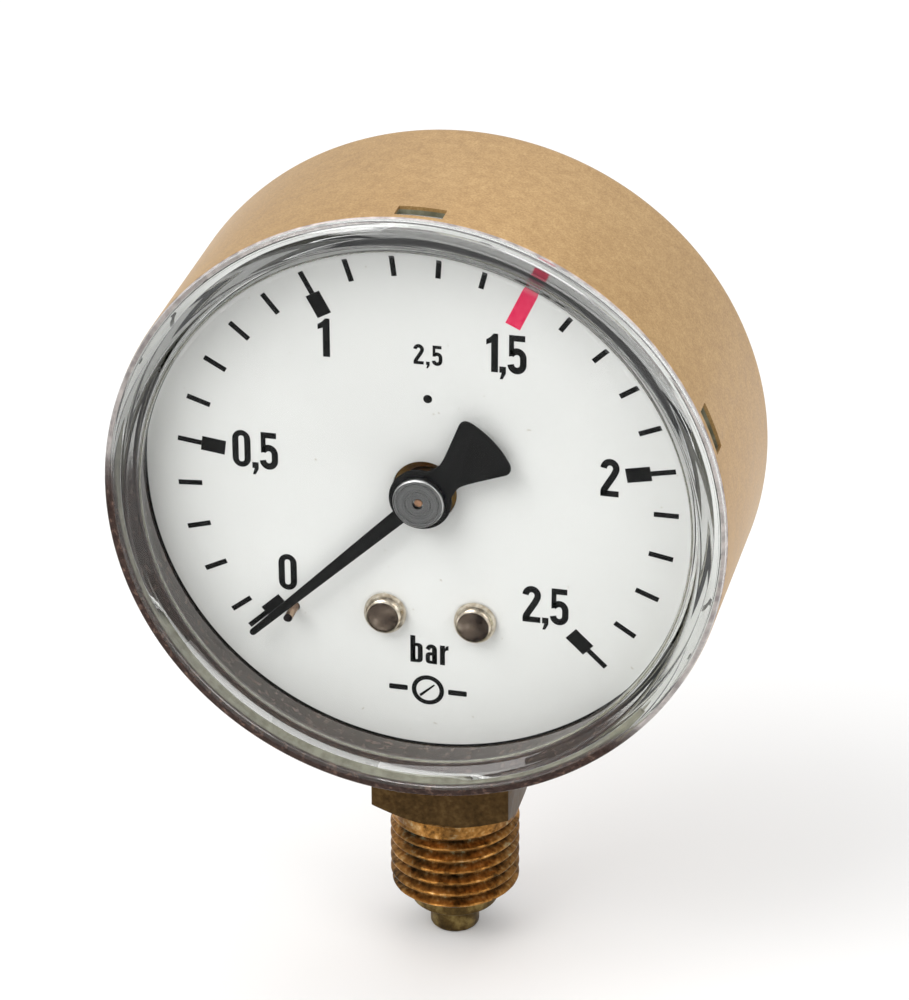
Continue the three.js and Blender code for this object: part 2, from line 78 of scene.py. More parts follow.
class Mat:
    """A small node-tree builder around one Principled shader."""

    def __init__(self, name, color=(0.8, 0.8, 0.8, 1), metallic=0.0, rough=0.5, **kw):
        self.m = bpy.data.materials.new(name)
        self.m.use_nodes = True
        self.t = self.m.node_tree
        self.b = self.t.nodes["Principled BSDF"]
        self.b.inputs["Base Color"].default_value = color
        self.b.inputs["Metallic"].default_value = metallic
        self.b.inputs["Roughness"].default_value = rough
        for k, v in kw.items():
            self.b.inputs[k.replace("_", " ")].default_value = v
        self.m.diffuse_color = color
        self.m.metallic = metallic
        self.m.roughness = rough
        self.tc = self.t.nodes.new("ShaderNodeTexCoord")

    def node(self, kind, **inputs):
        n = self.t.nodes.new(kind)
        for k, v in inputs.items():
            key = int(k[1:]) if k[0] == "_" and k[1:].isdigit() else k.replace("_", " ")
            if hasattr(v, "is_output") or isinstance(v, bpy.types.NodeSocket):
                self.t.links.new(v, n.inputs[key])
            else:
                n.inputs[key].default_value = v
        return n

    def link(self, a, b):
        self.t.links.new(a, b)

    def math(self, op, a, b=0.0, c=None, clamp=False):
        n = self.t.nodes.new("ShaderNodeMath")
        n.operation = op
        n.use_clamp = clamp
        for i, v in enumerate((a, b) if c is None else (a, b, c)):
            if isinstance(v, bpy.types.NodeSocket):
                self.t.links.new(v, n.inputs[i])
            else:
                n.inputs[i].default_value = v
        return n.outputs[0]

    def co(self, scale=(1, 1, 1), rot=(0, 0, 0), loc=(0, 0, 0)):
        n = self.t.nodes.new("ShaderNodeMapping")
        n.inputs["Scale"].default_value = scale
        n.inputs["Rotation"].default_value = rot
        n.inputs["Location"].default_value = loc
        self.link(self.tc.outputs["Object"], n.inputs["Vector"])
        return n.outputs[0]

    def xyz(self, vec=None):
        n = self.t.nodes.new("ShaderNodeSeparateXYZ")
        self.link(vec if vec is not None else self.tc.outputs["Object"], n.inputs[0])
        return n.outputs

    def noise(self, scale, detail=3.0, rough=0.55, vec=None, w=None):
        n = self.t.nodes.new("ShaderNodeTexNoise")
        n.inputs["Scale"].default_value = scale
        n.inputs["Detail"].default_value = detail
        n.inputs["Roughness"].default_value = rough
        self.link(vec if vec is not None else self.tc.outputs["Object"], n.inputs["Vector"])
        return n.outputs["Fac"]

    def ramp(self, fac, *stops):
        n = self.t.nodes.new("ShaderNodeValToRGB")
        e = n.color_ramp.elements
        while len(e) > 1:
            e.remove(e[0])
        e[0].position, e[0].color = stops[0]
        for p, c in stops[1:]:
            k = e.new(p)
            k.color = c
        self.link(fac, n.inputs["Fac"])
        return n.outputs["Color"]

    def mixc(self, fac, a, b, mode="MIX"):
        n = self.t.nodes.new("ShaderNodeMix")
        n.data_type = "RGBA"
        n.blend_type = mode
        for i, v in ((0, fac), (6, a), (7, b)):
            if isinstance(v, bpy.types.NodeSocket):
                self.link(v, n.inputs[i])
            else:
                n.inputs[i].default_value = v
        return n.outputs[2]

    def color(self, sock):
        self.link(sock, self.b.inputs["Base Color"])

    def rough(self, fac, a, b):
        n = self.t.nodes.new("ShaderNodeMapRange")
        n.inputs["To Min"].default_value = a
        n.inputs["To Max"].default_value = b
        self.link(fac, n.inputs["Value"])
        self.link(n.outputs[0], self.b.inputs["Roughness"])

    def bump(self, height, strength=0.3, distance=0.0001):
        n = self.t.nodes.new("ShaderNodeBump")
        n.inputs["Strength"].default_value = strength
        n.inputs["Distance"].default_value = distance
        self.link(height, n.inputs["Height"])
        self.link(n.outputs[0], self.b.inputs["Normal"])


def g(v):
    return (v, v, v, 1)


def metal(name, dark, light, rough=(0.25, 0.4), scale=900, metallic=1.0, bump=0.1):
    m = Mat(name, light, metallic, rough[0])
    n = m.noise(scale, 4)
    big = m.noise(scale / 14, 3)
    f = m.math("MULTIPLY_ADD", n, 0.5, m.math("MULTIPLY", big, 0.5))
    m.color(m.ramp(f, (0.3, dark), (0.68, light)))
    m.rough(n, *rough)
    m.bump(n, bump, 0.00002)
    return m


# painted case: gold metallic lacquer with a fine grain outside, dull metal inside; the front edge carries painted light
# and shade, pale lilac-grey at the top and right and a flecked dark brown (raw edge darkened by painted shade) toward
# the lower left
case_m = Mat("case_paint", srgb(184, 152, 104), 0.4, 0.42)
fine = case_m.noise(5200, 2, 0.6)
mid = case_m.noise(900, 3, 0.6)
wide = case_m.noise(38, 2)
f = case_m.math("ADD", case_m.math("MULTIPLY", fine, 0.5), case_m.math("MULTIPLY", mid, 0.3))
f = case_m.math("ADD", f, case_m.math("MULTIPLY", wide, 0.2))
gold_c = case_m.ramp(f, (0.34, srgb(160, 124, 76)), (0.5, srgb(182, 146, 96)), (0.66, srgb(202, 168, 118)))
cx_, cy_, cz_ = case_m.xyz(case_m.co(loc=(-DC.x, -DC.y, -DC.z)))[0:3]
cr_ = case_m.math("SQRT", case_m.math("ADD", case_m.math("MULTIPLY", cx_, cx_), case_m.math("MULTIPLY", cz_, cz_)))
wall_c = case_m.ramp(mid, (0.35, srgb(122, 120, 100)), (0.65, srgb(164, 162, 142)))
# painted shade: flecked dark brown for the front edge, used toward the lower left
front_edge_light_and_shade_c = case_m.ramp(mid, (0.38, srgb(20, 13, 11)), (0.55, srgb(44, 30, 26)), (0.70, srgb(92, 70, 58)))
inner_f = case_m.math("MULTIPLY", case_m.math("LESS_THAN", cr_, 29.12 * MM), case_m.math("LESS_THAN", cy_, 16.9 * MM))
# painted light and shade by direction: the front edge turns from pale at the top and right to dark toward the lower
# left
side = case_m.t.nodes.new("ShaderNodeMapRange")
side.inputs["From Min"].default_value = 8.7 * MM
side.inputs["From Max"].default_value = 12.5 * MM
case_m.link(case_m.math("ADD", case_m.math("MULTIPLY", cx_, -0.4067), case_m.math("MULTIPLY", cz_, -0.9135)), side.inputs["Value"])
pale_c = case_m.ramp(mid, (0.35, srgb(150, 140, 138)), (0.65, srgb(206, 196, 192)))
front_edge_light_and_shade_c = case_m.mixc(side.outputs[0], pale_c, front_edge_light_and_shade_c)
edge_f = case_m.math("MULTIPLY", case_m.math("LESS_THAN", cy_, -5.62 * MM), case_m.math("GREATER_THAN", cr_, 28.0 * MM))
col = case_m.mixc(inner_f, gold_c, wall_c)
case_m.color(case_m.mixc(edge_f, col, front_edge_light_and_shade_c))
case_m.rough(mid, 0.36, 0.5)
case_m.bump(fine, 0.16, 0.00003)

# clear moulded plastic: the flat pane reflects a little less than the rounded rim
win_m = Mat("clear_window", (0.985, 0.99, 0.985, 1), 0.0, 0.015, Transmission_Weight=1.0, IOR=1.49)
wt = win_m.t
sc = win_m.noise(260, 2)
win_m.rough(sc, 0.005, 0.03)
refr = wt.nodes.new("ShaderNodeBsdfRefraction")
refr.inputs["IOR"].default_value = 1.49
refr.inputs["Roughness"].default_value = 0.0
refr.inputs["Color"].default_value = (0.99, 0.993, 0.99, 1)
glo = wt.nodes.new("ShaderNodeBsdfGlossy")
glo.inputs["Roughness"].default_value = 0.02
fre = wt.nodes.new("ShaderNodeFresnel")
fre.inputs["IOR"].default_value = 1.49
pane = wt.nodes.new("ShaderNodeMixShader")
wt.links.new(win_m.math("MULTIPLY", fre.outputs[0], 0.1), pane.inputs["Fac"])
wt.links.new(refr.outputs[0], pane.inputs[1])
wt.links.new(glo.outputs[0], pane.inputs[2])
wx, wy, wz = win_m.xyz(win_m.co(loc=(-DC.x, 0, -DC.z)))[0:3]
wr = win_m.math("SQRT", win_m.math("ADD", win_m.math("MULTIPLY", wx, wx), win_m.math("MULTIPLY", wz, wz)))
rimf = win_m.math("GREATER_THAN", wr, 25.6 * MM)
# painted shade: a dark brown diffuse band on the rim's outer edge, strongest toward the lower left, stands in for the
# shaded case edge seen through the flange
low = wt.nodes.new("ShaderNodeMapRange")
low.inputs["From Min"].default_value = 8.2 * MM
low.inputs["From Max"].default_value = 12.5 * MM
low.inputs["To Max"].default_value = 0.86
wt.links.new(win_m.math("ADD", win_m.math("MULTIPLY", wx, -0.4067), win_m.math("MULTIPLY", wz, -0.9135)), low.inputs["Value"])
outer = wt.nodes.new("ShaderNodeMapRange")
outer.inputs["From Min"].default_value = 28.2 * MM
outer.inputs["From Max"].default_value = 28.34 * MM
wt.links.new(wr, outer.inputs["Value"])
fringe = wt.nodes.new("ShaderNodeMapRange")
fringe.inputs["From Min"].default_value = 29.2 * MM
fringe.inputs["From Max"].default_value = 29.12 * MM
wt.links.new(wr, fringe.inputs["Value"])
# painted shade colour for the rim band
rim_painted_shade = wt.nodes.new("ShaderNodeBsdfDiffuse")
wt.links.new(win_m.ramp(win_m.noise(1300, 4, 0.65), (0.35, srgb(40, 27, 23)), (0.55, srgb(66, 50, 45)), (0.72, srgb(120, 98, 86))), rim_painted_shade.inputs["Color"])
rim_painted_shade_mask = win_m.math("MULTIPLY", win_m.math("MULTIPLY", low.outputs[0], outer.outputs[0]), fringe.outputs[0])
both = wt.nodes.new("ShaderNodeMixShader")
wt.links.new(rimf, both.inputs["Fac"])
wt.links.new(pane.outputs[0], both.inputs[1])
wt.links.new(win_m.b.outputs[0], both.inputs[2])
lp = wt.nodes.new("ShaderNodeLightPath")
tr = wt.nodes.new("ShaderNodeBsdfTransparent")
tr.inputs["Color"].default_value = (0.96, 0.965, 0.96, 1)
mx = wt.nodes.new("ShaderNodeMixShader")
wt.links.new(lp.outputs["Is Shadow Ray"], mx.inputs["Fac"])
edge_mix = wt.nodes.new("ShaderNodeMixShader")
wt.links.new(rim_painted_shade_mask, edge_mix.inputs["Fac"])
wt.links.new(both.outputs[0], edge_mix.inputs[1])
wt.links.new(rim_painted_shade.outputs[0], edge_mix.inputs[2])
wt.links.new(edge_mix.outputs[0], mx.inputs[1])
wt.links.new(tr.outputs[0], mx.inputs[2])
wt.links.new(mx.outputs[0], wt.nodes["Material Output"].inputs["Surface"])

# dial enamel with a few specks
dial_m = Mat("dial_face", srgb(210, 210, 208), 0.0, 0.5, Coat_Weight=0.1, Specular_IOR_Level=0.3)
sp = dial_m.noise(1500, 1, 0.4)
wide = dial_m.noise(60, 2)
base = dial_m.ramp(wide, (0.3, srgb(225, 225, 223)), (0.7, srgb(230, 230, 228)))
speck = dial_m.ramp(sp, (0.79, g(0)), (0.83, g(1)))
dial_m.color(dial_m.mixc(dial_m.math("MULTIPLY", speck, 0.4), base, srgb(170, 160, 140)))
dial_m.bump(dial_m.noise(2600, 2), 0.04, 0.00002)


def ink(name, c1, c2):
    m = Mat(name, c1, 0.0, 0.6, Specular_IOR_Level=0.15)
    m.color(m.ramp(m.noise(2200, 3), (0.35, c1), (0.7, c2)))
    m.bump(m.noise(5000, 2), 0.05, 0.00001)
    return m


black_ink = ink("print_black", g(0.002), g(0.006))
red_ink = ink("print_red", srgb(226, 44, 88), srgb(236, 66, 104))
blade_m = Mat("pointer_black", g(0.004), 0.0, 0.5, Specular_IOR_Level=0.12)
n = blade_m.noise(3500, 3)
blade_m.color(blade_m.ramp(n, (0.3, g(0.002)), (0.75, g(0.008))))
blade_m.rough(n, 0.42, 0.6)
blade_m.bump(n, 0.12, 0.00002)


def ring_turned(name, dark, light, centre, rings=9000, rough=(0.2, 0.36), contrast=0.5, edge=1.0):
    """Concentric tool marks around an axis along Y."""
    m = Mat(name, light, 1.0, rough[0])
    x, y, z = m.xyz(m.co(loc=(-centre[0], 0, -centre[1])))[0:3]
    r = m.math("SQRT", m.math("ADD", m.math("MULTIPLY", x, x), m.math("MULTIPLY", z, z)))
    w = m.math("SINE", m.math("MULTIPLY", r, rings * 2))
    comb = m.t.nodes.new("ShaderNodeCombineXYZ")
    m.link(m.math("MULTIPLY", r, 5200), comb.inputs[0])
    nn = m.noise(1.0, 4, 0.7, comb.outputs[0])
    h = m.math("ADD", m.math("MULTIPLY", w, 0.15), nn)
    # past radius edge the colour is a lighter g(0.5) steel: a painted highlight on the chamfer
    m.color(m.mixc(m.math("GREATER_THAN", r, edge), m.ramp(nn, (0.5 - contrast / 3, dark), (0.5 + contrast / 3, light)), g(0.5)))
    m.rough(nn, *rough)
    m.bump(h, 0.25, 0.00003)
    return m


# painted reflection: the cap's face is a very dark steel standing in for the dark reflection it shows, and its chamfer
# ring beyond 2.33 mm is painted lighter
cap_m = ring_turned("turned_steel", g(0.075), g(0.16), (DC.x, DC.z), edge=2.33 * MM)
nickel_m = metal("nickel", srgb(150, 138, 120), srgb(224, 214, 200), (0.12, 0.24), 1400, 1.0, 0.05)
steel_m = metal("steel", g(0.28), g(0.55), (0.25, 0.4), 1500)
# painted shade: the brass is darkened overall, standing in for the shade on the movement plate seen through the dial's
# centre hole
brass_m = metal("brass", srgb(84, 64, 34), srgb(140, 110, 62), (0.3, 0.45), 1100)
pin_m = metal("copper_pin", srgb(96, 68, 50), srgb(176, 136, 108), (0.25, 0.4), 1600)
stop_m = metal("stop_pin_end", srgb(112, 84, 64), srgb(190, 160, 136), (0.3, 0.45), 1600)
# painted reflection: the pin's front end face is near black while the shank keeps its copper tone
_x, py_, _z = stop_m.xyz(stop_m.co(loc=(0, -DC.y, 0)))[0:3]
stop_m.color(stop_m.mixc(stop_m.math("LESS_THAN", py_, -2.36 * MM), stop_m.ramp(stop_m.noise(1400, 3), (0.35, srgb(104, 76, 58)), (0.66, srgb(196, 168, 144))), srgb(34, 30, 30)))
tube_m = metal("tube_bronze", srgb(150, 104, 54), srgb(210, 160, 100), (0.28, 0.42), 700)
spring_m = metal("spring_steel", g(0.24), g(0.5), (0.22, 0.34), 1600)
collar_m = metal("collar_brass", srgb(84, 58, 30), srgb(146, 106, 58), (0.28, 0.45), 1300)
rubber_m = Mat("plug_rubber", g(0.02), 0.0, 0.75)
n = rubber_m.noise(2400, 3)
rubber_m.color(rubber_m.ramp(n, (0.3, g(0.012)), (0.7, g(0.032))))
rubber_m.bump(n, 0.25, 0.00005)

# socket: painted shade on the block (a dark brown standing in for the dark reflections of its faces), orange-brown
# thread, grime in the roots
sock_m = Mat("socket_brass", srgb(180, 122, 52), 1.0, 0.34)
x, y, z = sock_m.xyz()[0:3]
r = sock_m.math("SQRT", sock_m.math("ADD", sock_m.math("MULTIPLY", x, x), sock_m.math("MULTIPLY", y, y)))
n1 = sock_m.noise(420, 5, 0.65)
n2 = sock_m.noise(1700, 4, 0.6)
n3 = sock_m.noise(170, 3, 0.5, sock_m.co(scale=(1, 1, 0.35)))
thread_c = sock_m.ramp(sock_m.math("ADD", sock_m.math("MULTIPLY", n1, 0.6), sock_m.math("MULTIPLY", n2, 0.4)),
                       (0.36, srgb(70, 52, 28)), (0.45, srgb(130, 90, 44)), (0.54, srgb(172, 122, 62)), (0.60, srgb(192, 144, 84)), (0.70, srgb(228, 198, 142)))
grime_c = sock_m.ramp(n2, (0.35, srgb(26, 19, 12)), (0.56, srgb(66, 54, 36)), (0.66, srgb(96, 112, 98)))
root = sock_m.t.nodes.new("ShaderNodeMapRange")
root.inputs["From Min"].default_value = 6.35 * MM
root.inputs["From Max"].default_value = 5.85 * MM
sock_m.link(r, root.inputs["Value"])
patch = sock_m.ramp(n3, (0.40, g(0)), (0.58, g(1)))
dirt = sock_m.math("MULTIPLY", root.outputs[0], sock_m.math("ADD", 0.55, sock_m.math("MULTIPLY", patch, 0.45)), clamp=True)
dirt = sock_m.math("MAXIMUM", dirt, sock_m.math("MULTIPLY", patch, sock_m.math("MULTIPLY", n2, 0.95)))
col = sock_m.mixc(dirt, thread_c, grime_c)
end_c = sock_m.ramp(n1, (0.36, srgb(52, 42, 26)), (0.52, srgb(94, 76, 44)), (0.66, srgb(146, 126, 78)))
below = sock_m.t.nodes.new("ShaderNodeMapRange")
below.inputs["From Min"].default_value = -9.9 * MM
below.inputs["From Max"].default_value = -10.15 * MM
sock_m.link(z, below.inputs["Value"])
col = sock_m.mixc(below.outputs[0], col, end_c)
# painted shade: the block's dark brown colour stands in for the dark surroundings its faces reflect
block_painted_shade_c = sock_m.ramp(sock_m.math("ADD", sock_m.math("MULTIPLY", n1, 0.5), sock_m.math("MULTIPLY", n2, 0.5)),
                      (0.36, srgb(56, 42, 24)), (0.52, srgb(74, 56, 33)), (0.66, srgb(92, 72, 44)))
above = sock_m.t.nodes.new("ShaderNodeMapRange")
above.inputs["From Min"].default_value = -0.1 * MM
above.inputs["From Max"].default_value = 0.3 * MM
sock_m.link(z, above.inputs["Value"])
col = sock_m.mixc(above.outputs[0], col, block_painted_shade_c)
sock_m.color(col)
sock_m.rough(sock_m.math("ADD", sock_m.math("MULTIPLY", n1, 0.5), sock_m.math("MULTIPLY", dirt, 0.6)), 0.26, 0.62)
sock_m.bump(sock_m.math("ADD", n2, sock_m.math("MULTIPLY", n1, 0.6)), 0.25, 0.00006)

slot_mats = {"case_paint": case_m, "clear_window": win_m, "dial_face": dial_m, "nickel": nickel_m, "copper_pin": pin_m,
             "pointer_black": blade_m, "brass": brass_m, "turned_steel": cap_m, "socket_brass": sock_m, "tube_bronze": tube_m,
             "steel": steel_m, "spring_steel": spring_m, "plug_rubber": rubber_m}

# ------------------------------------------------------------------ mesh helpers
def make(name, verts, faces, mat, sharp=35.0, smooth=True):
    me = bpy.data.meshes.new(name)
    me.from_pydata([tuple(v) for v in verts], [], faces)
    me.validate()
    ob = bpy.data.objects.new(name, me)
    bpy.context.scene.collection.objects.link(ob)
    tidy(ob, sharp, smooth)
    me.materials.append(mat.m if isinstance(mat, Mat) else mat)
    return ob


def tidy(ob, sharp=35.0, smooth=True):
    me = ob.data
    bm = bmesh.new()
    bm.from_mesh(me)
    bmesh.ops.remove_doubles(bm, verts=bm.verts, dist=1e-7)
    bmesh.ops.recalc_face_normals(bm, faces=bm.faces)
    bm.to_mesh(me)
    bm.free()
    if smooth:
        me.polygons.foreach_set("use_smooth", [True] * len(me.polygons))
        me.set_sharp_from_angle(angle=math.radians(sharp))


def rounded(pts, n=4):
    """Profile with rounded corners: items are (r, y) or (r, y, radius)."""
    out = []
    for i, p in enumerate(pts):
        if len(p) < 3 or p[2] <= 0 or i in (0, len(pts) - 1) and pts[0][0] == 0:
            out.append((p[0], p[1]))
            continue
        a, b, c = Vector(pts[i - 1][:2]), Vector(p[:2]), Vector(pts[(i + 1) % len(pts)][:2])
        u, v = (a - b), (c - b)
        lu, lv = u.length, v.length
        u.normalize(); v.normalize()
        ang = u.angle(v)
        if ang > math.radians(178):
            out.append((b.x, b.y))
            continue
        d = min(p[2] / math.tan(ang / 2), lu * 0.48, lv * 0.48)
        rad = d * math.tan(ang / 2)
        mid = (u + v).normalized()
        ctr = b + mid * (rad / math.sin(ang / 2))
        s, e = b + u * d, b + v * d
        a0 = math.atan2(s.y - ctr.y, s.x - ctr.x)
        a1 = math.atan2(e.y - ctr.y, e.x - ctr.x)
        da = (a1 - a0 + math.pi) % (2 * math.pi) - math.pi
        for k in range(n + 1):
            t = a0 + da * k / n
            out.append((ctr.x + rad * math.cos(t), ctr.y + rad * math.sin(t)))
    return out


def turned(name, prof, mat, seg=192, origin=None, axis="Y", sharp=35.0):
    """Closed profile (mm) turned about an axis through origin (m)."""
    origin = DC if origin is None else origin
    closed = prof[0][0] > 1e-9
    verts, rings = [], []
    for r, h in prof:
        if r < 1e-9:
            rings.append([len(verts)])
            verts.append((0, h) if False else _place(0, 0, h, axis, origin))
        else:
            base = len(verts)
            for k in range(seg):
                a = 2 * math.pi * k / seg
                verts.append(_place(r * math.cos(a), r * math.sin(a), h, axis, origin))
            rings.append(list(range(base, base + seg)))
    faces = []
    pairs = list(zip(rings, rings[1:])) + ([(rings[-1], rings[0])] if closed else [])
    for p, q in pairs:
        if len(p) == 1 and len(q) == 1:
            continue
        for k in range(seg):
            j = (k + 1) % seg
            if len(p) == 1:
                faces.append((p[0], q[k], q[j]))
            elif len(q) == 1:
                faces.append((p[k], p[j], q[0]))
            else:
                faces.append((p[k], p[j], q[j], q[k]))
    return make(name, verts, faces, mat, sharp)


def _place(u, v, h, axis, origin):
    if axis == "Y":
        return Vector((u * MM, h * MM, v * MM)) + origin
    return Vector((u * MM, v * MM, h * MM)) + origin


def slab(name, outline, holes, y0, y1, mat, bevel=0.0, sharp=30.0, origin=None, seg=3):
    """Outline [x, z] in mm seen from the front, between y0 and y1 behind the dial face."""
    origin = DC if origin is None else origin
    bm = bmesh.new()
    loops = [outline] + list(holes)
    edges = []
    for lp_ in loops:
        vs = [bm.verts.new(_place(x, z, y0, "Y", origin)) for x, z in lp_]
        edges += [bm.edges.new((vs[i], vs[(i + 1) % len(vs)])) for i in range(len(vs))]
    bmesh.ops.triangle_fill(bm, use_beauty=True, use_dissolve=False, edges=edges)
    bmesh.ops.dissolve_limit(bm, angle_limit=0.001, verts=bm.verts, edges=bm.edges, delimit={"NORMAL"})
    ext = bmesh.ops.extrude_face_region(bm, geom=list(bm.faces))
    moved = [e for e in ext["geom"] if isinstance(e, bmesh.types.BMVert)]
    bmesh.ops.translate(bm, vec=(0, (y1 - y0) * MM, 0), verts=moved)
    bmesh.ops.recalc_face_normals(bm, faces=bm.faces)
    me = bpy.data.meshes.new(name)
    bm.to_mesh(me)
    bm.free()
    ob = bpy.data.objects.new(name, me)
    bpy.context.scene.collection.objects.link(ob)
    me.materials.append(mat.m)
    if bevel:
        md = ob.modifiers.new("b", "BEVEL")
        md.width = bevel * MM
        md.segments = seg
        md.limit_method = "ANGLE"
        md.angle_limit = math.radians(35)
        apply(ob)
    tidy(ob, sharp)
    return ob


def apply(ob):
    dg = bpy.context.evaluated_depsgraph_get()
    dg.update()
    me = bpy.data.meshes.new_from_object(ob.evaluated_get(dg))
    old = ob.data
    ob.modifiers.clear()
    ob.data = me
    bpy.data.meshes.remove(old)
    return ob


def boolean(ob, tools, op="DIFFERENCE"):
    for t in tools:
        md = ob.modifiers.new("x", "BOOLEAN")
        md.operation = op
        md.solver = "EXACT"
        md.object = t
        apply(ob)
        bpy.data.objects.remove(t, do_unlink=True)
    return ob


def block(name, x0, x1, y0, y1, z0, z1, mat=None, m=None, origin=None):
    v = [Vector((x, y, z)) * MM for x in (x0, x1) for y in (y0, y1) for z in (z0, z1)]
    if m is not None:
        v = [m @ p for p in v]
    if origin is not None:
        v = [p + origin for p in v]
    f = [(0, 1, 3, 2), (4, 6, 7, 5), (0, 4, 5, 1), (2, 3, 7, 6), (0, 2, 6, 4), (1, 5, 7, 3)]
    return make(name, v, f, mat if mat is not None else steel_m, smooth=False)


def prism(name, pts, polys, y0, y1, mat, sharp=30.0):
    """Flat faces given by shared [x, z] points, extruded from y0 to y1."""
    n = len(pts)
    v = [_place(x, z, y0, "Y", DC) for x, z in pts] + [_place(x, z, y1, "Y", DC) for x, z in pts]
    faces = [tuple(q) for q in polys] + [tuple(i + n for i in reversed(q)) for q in polys]
    seen = {}
    for q in polys:
        for i in range(len(q)):
            e = (q[i], q[(i + 1) % len(q)])
            seen[e] = seen.get(e, 0) + 1
    for (a, b) in seen:
        if (b, a) not in seen:
            faces.append((b, a, a + n, b + n))
    return make(name, v, faces, mat, sharp)


def circle(x, z, r, n=48):
    return [(x + r * math.cos(2 * math.pi * i / n), z + r * math.sin(2 * math.pi * i / n)) for i in range(n)]


def stand_for(ob, body, slot, *names):
    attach(ob, body)
    if names:
        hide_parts(*names)
    return ob


# ------------------------------------------------------------------ dimensions shared with the frame
CASE_R, CASE_RF, CASE_BACK, FRONT, WALL = 29.9, 29.4, 17.6, -5.8, 0.8

# ------------------------------------------------------------------ case
ri = CASE_R - WALL
prof = rounded([(0, CASE_BACK), (23.2, CASE_BACK), (23.6, CASE_BACK - 0.25, 0.3), (24.6, CASE_BACK - 0.25, 0.3), (25.0, CASE_BACK, 0.3),
                (CASE_R, CASE_BACK, 2.5), (CASE_RF, FRONT, 0.35), (CASE_RF - WALL, FRONT, 0.1),
                (ri, CASE_BACK - WALL, 1.7), (0, CASE_BACK - WALL)], 8)
case = turned("case_shell", prof, case_m, 288, sharp=32)
SLOTS = [1.2, 68.0, 134.8, -65.6]
tools = []
for d in SLOTS:
    m = Matrix.Rotation(math.radians(d), 3, "Y")
    tools.append(block("t", -2.2, 2.2, -5.1, -3.1, 26.0, 32.0, m=m, origin=DC))
tools.append(block("t", -7.2, 7.2, 5.1, 16.7, -33, -25, origin=DC))
tools.append(turned("t", [(0, 15), (5.2, 15), (5.2, 20), (0, 20)], steel_m, 96, DC + Vector((0, 0, 12 * MM))))
for s in (-1, 1):
    tools.append(turned("t", [(0, 15), (1.5, 15), (1.5, 20), (0, 20)], steel_m, 48, DC + Vector((4 * s * MM, 0, -20 * MM))))
boolean(case, tools)
tidy(case, 32)
stand_for(case, "root", "case_paint", "case")
# pushed-in tabs behind the slots
inner_m = metal("slot_inside", srgb(70, 68, 46), srgb(140, 138, 112), (0.4, 0.55), 1500, 0.3, 0.1)
for i, d in enumerate(SLOTS):
    v, n_ = [], 9
    # outer skin from the bend at the front to the free end, then the inner skin back again
    for (y, r, h) in ((-5.08, 29.38, 2.1), (-4.7, 29.24, 2.12), (-3.9, 28.9, 2.14), (-3.32, 28.6, 2.14), (-3.2, 28.2, 2.14), (-3.9, 28.44, 2.14), (-4.7, 28.66, 2.12), (-5.08, 28.8, 2.1)):
        for k in range(n_):
            a = math.radians(d) + (k / (n_ - 1) - 0.5) * 2 * h / 29.4
            v.append(Vector((r * math.sin(a), y, r * math.cos(a))) * MM + DC)
    fs = []
    for q in range(8):
        for k in range(n_ - 1):
            a, b = q * n_ + k, ((q + 1) % 8) * n_ + k
            fs.append((a, a + 1, b + 1, b))
    fs += [tuple(q * n_ for q in range(8)), tuple(q * n_ + n_ - 1 for q in range(7, -1, -1))]
    t = make(f"case_tab_{i + 1}", v, fs, inner_m, 40)
    stand_for(t, "root", "case_paint")

# ------------------------------------------------------------------ window
prof = rounded([(0, -6.0), (26.1, -6.0, 0.9), (27.0, -7.0, 0.7), (28.2, -7.1, 1.1), (29.3, -6.5, 0.8), (29.3, -5.86, 0.08), (28.4, -5.86, 0.05),
                (28.4, -5.4, 0.05), (27.9, -5.3, 0.05), (27.9, -2.95, 0.05), (28.4, -2.85, 0.05), (28.4, -0.2, 0.15), (27.3, -0.2, 0.15),
                (26.65, -4.4, 0.5), (26.2, -4.8, 0.3), (0, -4.8)], 8)
win = turned("window_clear", prof, win_m, 288, sharp=60)
stand_for(win, "root", "clear_window", "window")

# ------------------------------------------------------------------ dial and its print
SX, SZ = (-3.85, 4.95), -13.2
PIN = (18.8 * math.sin(math.radians(-136.8)), 18.8 * math.cos(math.radians(-136.8)))
dial = turned("dial_plate", rounded([(3.1, 0.0, 0.04), (28.3, 0.0, 0.06), (28.3, 0.5, 0.06), (3.1, 0.5, 0.04)], 3), dial_m, 256)
tools = [turned("t", [(0, -1), (1.15, -1), (1.15, 2), (0, 2)], steel_m, 48, DC + Vector((x_ * MM, 0, SZ * MM))) for x_ in SX]
tools.append(turned("t", [(0, -1), (0.5, -1), (0.5, 2), (0, 2)], steel_m, 32, DC + Vector((PIN[0] * MM, 0, PIN[1] * MM))))
boolean(dial, tools)
tidy(dial, 32)
stand_for(dial, "root", "dial_face", "dial")

INK = 0.025
prints = []


def decal(name, outline, mat, holes=()):
    o = slab(name, outline, holes, -INK, 0.0, mat)
    stand_for(o, "root", "dial_face")
    prints.append(o)
    return o


def bar_at(az, r0, r1, w, w1=None):
    """Radial bar between two radii."""
    w1 = w if w1 is None else w1
    s, c = math.sin(az), math.cos(az)
    pts = []
    for r, h in ((r0, -w / 2), (r0, w / 2), (r1, w1 / 2), (r1, -w1 / 2)):
        pts.append((r * s + h * c, r * c - h * s))
    return pts


